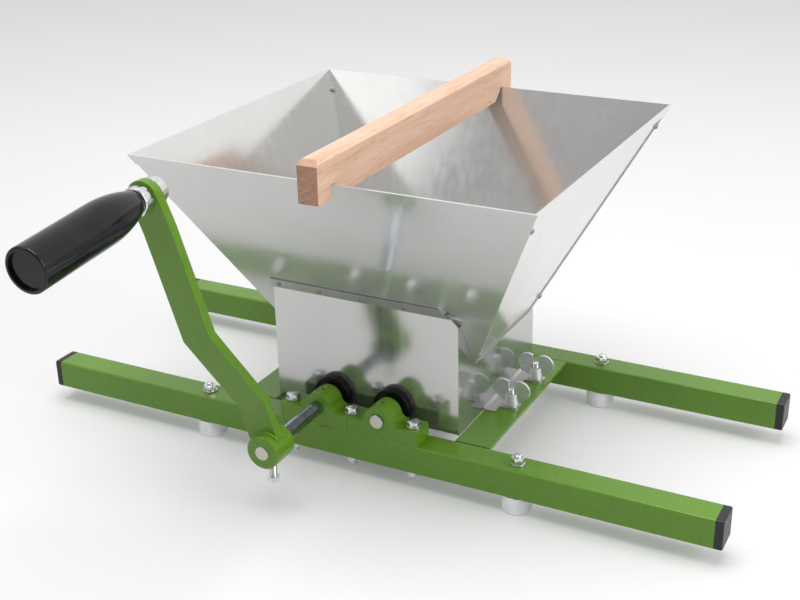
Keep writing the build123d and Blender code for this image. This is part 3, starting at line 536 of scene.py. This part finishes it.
def thread_rings(low, high, diameter, pitch):
    """Rings that follow a screw thread between two heights."""
    depth = THREAD_DEPTH_SHARE * pitch
    steps = max(2, round((high - low) / (pitch / STEPS_PER_PITCH)))
    rings = []
    for step in range(steps + 1):
        height = low + (high - low) * step / steps
        ring = []
        for i in range(AROUND):
            turn = (height / pitch - i / AROUND) % 1
            radius = diameter / 2 - depth * abs(2 * turn - 1)
            angle = 2 * pi * i / AROUND
            ring.append((radius * cos(angle), radius * sin(angle), height))
        rings.append(ring)
    return rings


def chamfered_hexagon(low, high, across, both_ends=False):
    """Rings of a hexagon whose corners are turned down at its low end, or at both."""
    cones = [(step, CHAMFER_CONE_SHARE * across + CHAMFER_SLOPE * step) for step in CHAMFER_STEPS]
    rings = [hexagon_ring(low + step, across, cone) for step, cone in cones]
    if both_ends:
        rings += [hexagon_ring(high - step, across, cone) for step, cone in reversed(cones)]
    else:
        rings.append(hexagon_ring(high, across, across))
    return rings


def bolt_rings(head, across, diameter, pitch, length):
    """Rings of a hexagon bolt from the top of its head to its tip."""
    rings = chamfered_hexagon(0, head, across)
    rings.append(round_ring(head, diameter / 2 + 0.3))
    rings += thread_rings(head + 0.05, length - 0.5, diameter, pitch)
    rings.append(round_ring(length, 0.36 * diameter))
    return rings


def nut_rings(height, across, diameter, pitch):
    """Rings of a hexagon nut, round the outside and back through its thread."""
    rings = chamfered_hexagon(0, height, across, both_ends=True)
    rings.append(round_ring(height, diameter / 2 + 0.35))
    rings.append(round_ring(height - 0.5, diameter / 2 - 0.2 * pitch))
    rings.append(round_ring(0.5, diameter / 2 - 0.2 * pitch))
    rings.append(round_ring(0, diameter / 2 + 0.35))
    return rings


def washer_rings(thick, outer, inner):
    """Rings of a stamped washer with one rounded edge."""
    return [
        round_ring(0, outer / 2 - 0.1),
        round_ring(0.12, outer / 2),
        round_ring(thick - 0.35, outer / 2),
        round_ring(thick - 0.1, outer / 2 - 0.1),
        round_ring(thick, outer / 2 - 0.35),
        round_ring(thick, inner / 2 + 0.1),
        round_ring(thick - 0.1, inner / 2),
        round_ring(0, inner / 2),
    ]


def rivet_rings(length):
    """Rings of a blind rivet: mandrel stub, domed head, shank and the swelling on its blind side."""
    return [
        round_ring(0.45, 0.4),
        round_ring(0.40, RIVET_STUB),
        round_ring(0.62, RIVET_STUB + 0.02),
        round_ring(0.62, RIVET_STUB + 0.12),
        round_ring(0.10, RIVET_STUB + 0.16),
        round_ring(0.0, RIVET_STUB + 0.35),
        round_ring(0.08, 1.5),
        round_ring(0.32, 1.95),
        round_ring(0.65, 2.2),
        round_ring(0.95, RIVET_HEAD),
        round_ring(RIVET_HEAD_HEIGHT, RIVET_HEAD - 0.05),
        round_ring(RIVET_HEAD_HEIGHT, RIVET_SHANK),
        round_ring(length - 1.3, RIVET_SHANK),
        round_ring(length - 1.1, 1.95),
        round_ring(length - 0.6, 2.05),
        round_ring(length - 0.15, 1.6),
        round_ring(length, 0.9),
    ]


def spindle_rings(length):
    """Rings of the grip's spindle: threaded where the nuts hold it, plain inside the grip."""
    return [
        round_ring(0, 0.42 * M14),
        *thread_rings(0.8, SPINDLE_THREAD_LENGTH - 0.2, M14, M14_PITCH),
        round_ring(SPINDLE_THREAD_LENGTH, 0.44 * M14),
        round_ring(SPINDLE_THREAD_LENGTH, SPINDLE / 2),
        round_ring(length - 0.6, SPINDLE / 2),
        round_ring(length, SPINDLE / 2 - 0.6),
    ]


def skin(rings, place, points, faces, hollow=False):
    """Adds a closed skin over rings of points, put in place by a matrix.

    A hollow one joins its last ring to its first, where a solid one has its ends closed.
    """
    start = len(points)
    count = len(rings[0])
    for ring in rings:
        points.extend(place @ Vector(point) for point in ring)
    spans = len(rings) if hollow else len(rings) - 1
    for span in range(spans):
        low = start + span * count
        high = start + (span + 1) % len(rings) * count
        for i in range(count):
            after = (i + 1) % count
            faces.append((low + i, low + after, high + after, high + i))
    if not hollow:
        faces.append(tuple(start + i for i in reversed(range(count))))
        faces.append(tuple(start + (len(rings) - 1) * count + i for i in range(count)))


def add_piece(name, points, faces, slot, body, stands_for=()):
    """New visible piece in the look of a slot, riding on a body."""
    mesh = bpy.data.meshes.new(name)
    mesh.from_pydata([tuple(point) for point in points], [], faces)
    mesh.validate()
    mesh.shade_smooth()
    mesh.set_sharp_from_angle(angle=PIECE_EDGE_ANGLE)
    mesh.materials.append(looks[slot])
    piece = bpy.data.objects.new(name, mesh)
    bpy.context.scene.collection.objects.link(piece)
    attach(piece, body)
    if stands_for:
        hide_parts(*stands_for)
    return piece


def remake(node, slot, body, shape, hollow=False, look=None):
    """Replaces each solid of a fastener node; shape gives the rings for a length in millimetres."""
    points = []
    faces = []
    for solid in solids(node):
        start, axis, length = shaft_line(solid)
        skin(shape(length / MM), standing_at(start, axis), points, faces, hollow)
    piece = add_piece(f"{node}_detailed", points, faces, slot, body, (node,))
    if look:
        piece.data.materials[0] = looks[look]


def m6_bolt(length):
    """Rings of an M6 bolt."""
    return bolt_rings(M6_HEAD, M6_HEX, M6, M6_PITCH, length)


def m6_nut(height):
    """Rings of an M6 nut."""
    return nut_rings(height, M6_HEX, M6, M6_PITCH)


def m6_washer(thick):
    """Rings of a washer for M6."""
    return washer_rings(thick, M6_WASHER_OUTER, M6_WASHER_INNER)


def m6_stud(length):
    """Rings of an M6 stud with chamfered tips."""
    tip = 0.38 * M6
    return [round_ring(0, tip), *thread_rings(0.5, length - 0.5, M6, M6_PITCH), round_ring(length, tip)]


def m14_nut(height):
    """Rings of a nut on the grip's spindle."""
    return nut_rings(height, M14_HEX, M14, M14_PITCH)


def make_fasteners():
    """Bolts, nuts, washers, studs, rivets and spindle with chamfers, threads and rounded edges."""
    for node in ("foot_bolts", "bearing_bolts"):
        remake(node, "zinc_plate", "frame", m6_bolt)
    remake("crank_set_screw", "zinc_plate", "crank", m6_bolt)
    for node in ("foot_nuts", "bearing_nuts"):
        remake(node, "zinc_plate", "frame", m6_nut, hollow=True)
    for node in ("foot_washers", "bearing_washers", "clamp_washers"):
        remake(node, "zinc_plate", "frame", m6_washer, hollow=True)
    remake("clamp_studs", "zinc_plate", "frame", m6_stud)
    for node in ("box_rivets", "hopper_rivets"):
        remake(node, "stainless_sheet", "frame", rivet_rings, look="rivet")
    remake("grip_nuts", "zinc_plate", "crank", m14_nut, hollow=True)
    remake("grip_spindle", "zinc_plate", "crank", spindle_rings)


def make_weld_beads():
    """Beads where the crank arm is welded to its hub, one on each face of the arm."""
    hub_low, hub_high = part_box("crank_hub")
    hub = (hub_low + hub_high) / 2
    radius = (hub_high.x - hub_low.x) / 2
    grip_joint = [joint for joint in frame["joints"] if joint["name"] == "grip_spin"][0]
    lean = atan2(grip_joint["pos_m"][2] - hub.z, grip_joint["pos_m"][0] - hub.x)
    rear_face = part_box("crank_arm")[1].y
    half_arc = asin(ARM_WIDTH * MM / 2 / radius)
    bead_count = 2 * half_arc * radius / (BEAD_STEP * MM)
    points = []
    faces = []
    for face in (rear_face, rear_face - ARM_THICK * MM):
        rings = []
        for step in range(BEAD_SECTIONS + 1):
            share = step / BEAD_SECTIONS
            angle = lean - half_arc + 2 * half_arc * share
            ripple = 0.86 + 0.14 * ((share * bead_count) % 1)
            end_taper = min(1.0, 8 * share + 0.3, 8 * (1 - share) + 0.3)
            thick = BEAD_RADIUS * MM * ripple * end_taper
            ring = []
            for i in range(BEAD_AROUND):
                turn = 2 * pi * i / BEAD_AROUND
                reach = radius + 0.0002 + thick * cos(turn)
                x = hub.x + reach * cos(angle)
                z = hub.z + reach * sin(angle)
                ring.append((x, face + thick * sin(turn), z))
            rings.append(ring)
        skin(rings, Matrix.Identity(4), points, faces)
    add_piece("crank_weld_beads", points, faces, "green_paint", "crank")


# ================================================================ stage
def add_floor():
    """Plain pale floor that glows faintly, for an even pale background."""
    mesh = bpy.data.meshes.new("floor")
    corners = [(x * FLOOR_REACH, y * FLOOR_REACH, 0) for x, y in ((-1, -1), (1, -1), (1, 1), (-1, 1))]
    mesh.from_pydata(corners, [], [(0, 1, 2, 3)])
    floor_piece = bpy.data.objects.new("floor", mesh)
    bpy.context.scene.collection.objects.link(floor_piece)
    look = Look("pale_floor", (0.54, 0.54, 0.54), roughness=0.9, Specular_IOR_Level=0.1)
    look.color(look.ramp(look.noise(3, 2), (0.3, (0.535, 0.535, 0.535)), (0.7, (0.545, 0.545, 0.545))))
    look.shader.inputs["Emission Color"].default_value = (1.0, 1.0, 1.0, 1)
    look.shader.inputs["Emission Strength"].default_value = FLOOR_GLOW
    mesh.materials.append(look.material)


def add_light(name, place, target, size, power):
    """Square soft light aimed at a point."""
    light = bpy.data.lights.new(name, "AREA")
    light.shape = "SQUARE"
    light.size = size
    light.energy = power
    lamp = bpy.data.objects.new(name, light)
    lamp.location = place
    aim = Vector(target) - Vector(place)
    lamp.rotation_euler = aim.to_track_quat("-Z", "Y").to_euler()
    bpy.context.scene.collection.objects.link(lamp)


def light_studio():
    """White surroundings, brightest behind, and the soft lamps."""
    world = bpy.data.worlds.new("studio")
    world.use_nodes = True
    tree = world.node_tree
    background = tree.nodes["Background"]
    direction = tree.nodes.new("ShaderNodeTexCoord").outputs["Generated"]
    toward_light = tree.nodes.new("ShaderNodeVectorMath")
    toward_light.operation = "DOT_PRODUCT"
    toward_light.inputs[1].default_value = SKY_SLOPE
    tree.links.new(direction, toward_light.inputs[0])
    strength = tree.nodes.new("ShaderNodeMath")
    strength.operation = "ADD"
    strength.inputs[1].default_value = SKY_LEVEL
    tree.links.new(toward_light.outputs["Value"], strength.inputs[0])
    tree.links.new(strength.outputs["Value"], background.inputs["Strength"])
    background.inputs["Color"].default_value = (1.0, 1.0, 1.0, 1)
    bpy.context.scene.world = world
    for lamp in LAMPS:
        add_light(*lamp)


def place_camera():
    """Camera at the worked-out place, turned by azimuth, elevation and roll."""
    azimuth = radians(CAMERA_AZIMUTH)
    elevation = radians(CAMERA_ELEVATION)
    roll = radians(CAMERA_ROLL)
    back = Vector((sin(azimuth) * cos(elevation), -cos(azimuth) * cos(elevation), sin(elevation)))
    right = (-back).cross(Vector((0, 0, 1))).normalized()
    up = back.cross(right)
    across = right * cos(roll) + up * sin(roll)
    upward = up * cos(roll) - right * sin(roll)
    turn = Matrix((across, upward, back)).transposed().to_4x4()
    data = bpy.data.cameras.new("camera")
    data.lens = CAMERA_LENS
    data.sensor_width = CAMERA_SENSOR
    camera = bpy.data.objects.new("camera", data)
    camera.matrix_world = Matrix.Translation(CAMERA_PLACE) @ turn
    bpy.context.scene.collection.objects.link(camera)
    bpy.context.scene.camera = camera


# ================================================================ the scene
bpy.context.scene.view_settings.view_transform = "Standard"
looks = make_looks()
dress_nodes()
soften_edges()
make_fasteners()
make_weld_beads()
add_floor()
light_studio()
place_camera()
